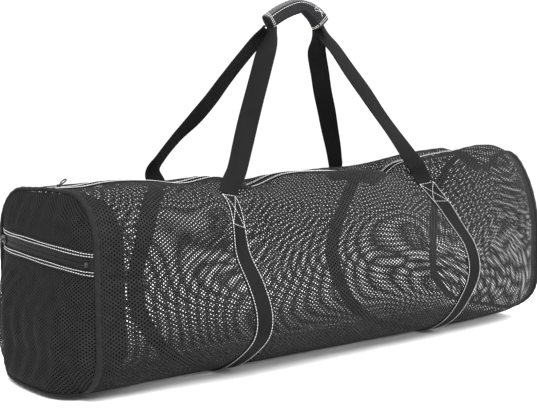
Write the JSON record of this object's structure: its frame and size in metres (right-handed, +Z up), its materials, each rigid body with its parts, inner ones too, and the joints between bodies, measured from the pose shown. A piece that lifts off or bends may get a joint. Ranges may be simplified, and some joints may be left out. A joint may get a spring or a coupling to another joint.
{
  "type": "mesh ball bag",
  "caption": "Long zipped mesh duffel for balls and kit, with a zipped end pocket, sewn webbing bands and two carry handles held in one padded hook-and-loop grip.",
  "frame": {"origin": "middle of the footprint, on the floor that the bag stands on", "axes": "+X along the bag away from the pocket end, -Y the near side, +Z up"},
  "size_m": [1.1476, 0.395, 0.6797],
  "materials": {
    "mesh_fabric": "open knitted polyester mesh",
    "liner_fabric": "plain woven lining",
    "zip_tape": "herringbone woven tape",
    "zip_coil": "nylon coil",
    "webbing": "ribbed polypropylene webbing",
    "binding_tape": "grosgrain binding",
    "thread": "bonded polyester thread",
    "grip_fabric": "plain woven nylon",
    "loop_pile": "fuzzy loop pile",
    "hook_tape": "moulded hooks",
    "dark_metal": "black enamel over die-cast zinc, worn on the edges"
  },
  "bodies": {
    "bag": {"front_mesh_panel": "mesh_fabric", "back_mesh_panel": "mesh_fabric", "bottom_mesh_panel": "mesh_fabric", "left_end_panel": "mesh_fabric", "left_pocket_panel": "mesh_fabric", "right_end_panel": "mesh_fabric", "pocket_liner": "liner_fabric", "left_seam_binding": "binding_tape", "right_seam_binding": "binding_tape", "main_zip_start_tab": "binding_tape", "main_zip_end_tab": "binding_tape", "pocket_zip_start_tab": "binding_tape", "pocket_zip_end_tab": "binding_tape", "main_zip_tape_front": "zip_tape", "main_zip_tape_back": "zip_tape", "pocket_zip_tape_lower": "zip_tape", "pocket_zip_tape_upper": "zip_tape", "main_zip_coil_front": "zip_coil", "main_zip_coil_back": "zip_coil", "pocket_zip_coil_lower": "zip_coil", "pocket_zip_coil_upper": "zip_coil", "main_zip_start_stop": "dark_metal", "main_zip_end_stop": "dark_metal", "pocket_zip_start_stop": "dark_metal", "pocket_zip_end_stop": "dark_metal", "main_zip_stitches": "thread", "pocket_zip_stitches": "thread", "left_band_stitches": "thread", "right_band_stitches": "thread", "left_box_stitches": "thread", "right_box_stitches": "thread", "left_webbing_band": "webbing", "right_webbing_band": "webbing", "near_left_leg": "webbing", "near_right_leg": "webbing", "far_left_leg": "webbing", "far_right_leg": "webbing"},
    "main_slider": {"main_zip_slider": "dark_metal"},
    "main_pull": {"main_zip_pull": "dark_metal"},
    "pocket_slider": {"pocket_zip_slider": "dark_metal"},
    "pocket_pull": {"pocket_zip_pull": "dark_metal"},
    "handles": {"near_grip_webbing": "webbing", "far_grip_webbing": "webbing", "grip_cover": "grip_fabric", "grip_flap": "grip_fabric", "grip_loop_strip": "loop_pile", "grip_hook_strip": "hook_tape", "grip_stitches": "thread"}
  },
  "joints": [
    {"name": "main_zip_slide", "type": "slide", "parent": "bag", "child": "main_slider", "axis": [1, 0, 0], "range_m": [0, 1.072]},
    {"name": "main_pull_swing", "type": "hinge", "parent": "main_slider", "child": "main_pull", "pos_m": [-0.536, 0, 0.3357], "axis": [0, 1, 0], "range_deg": [-123, 24]},
    {"name": "pocket_zip_slide", "type": "slide", "parent": "bag", "child": "pocket_slider", "axis": [0, -0.9976, -0.0698], "range_m": [0, 0.27]},
    {"name": "pocket_pull_swing", "type": "hinge", "parent": "pocket_slider", "child": "pocket_pull", "pos_m": [-0.5737, 0.13467, 0.24142], "axis": [0, -0.0698, 0.9976], "range_deg": [-155, 0]},
    {"name": "handle_drop", "type": "slide", "parent": "bag", "child": "handles", "axis": [0, 0, 1], "range_m": [-0.2, 0], "deforming": ["near_left_leg", "near_right_leg", "far_left_leg", "far_right_leg"]}
  ]
}
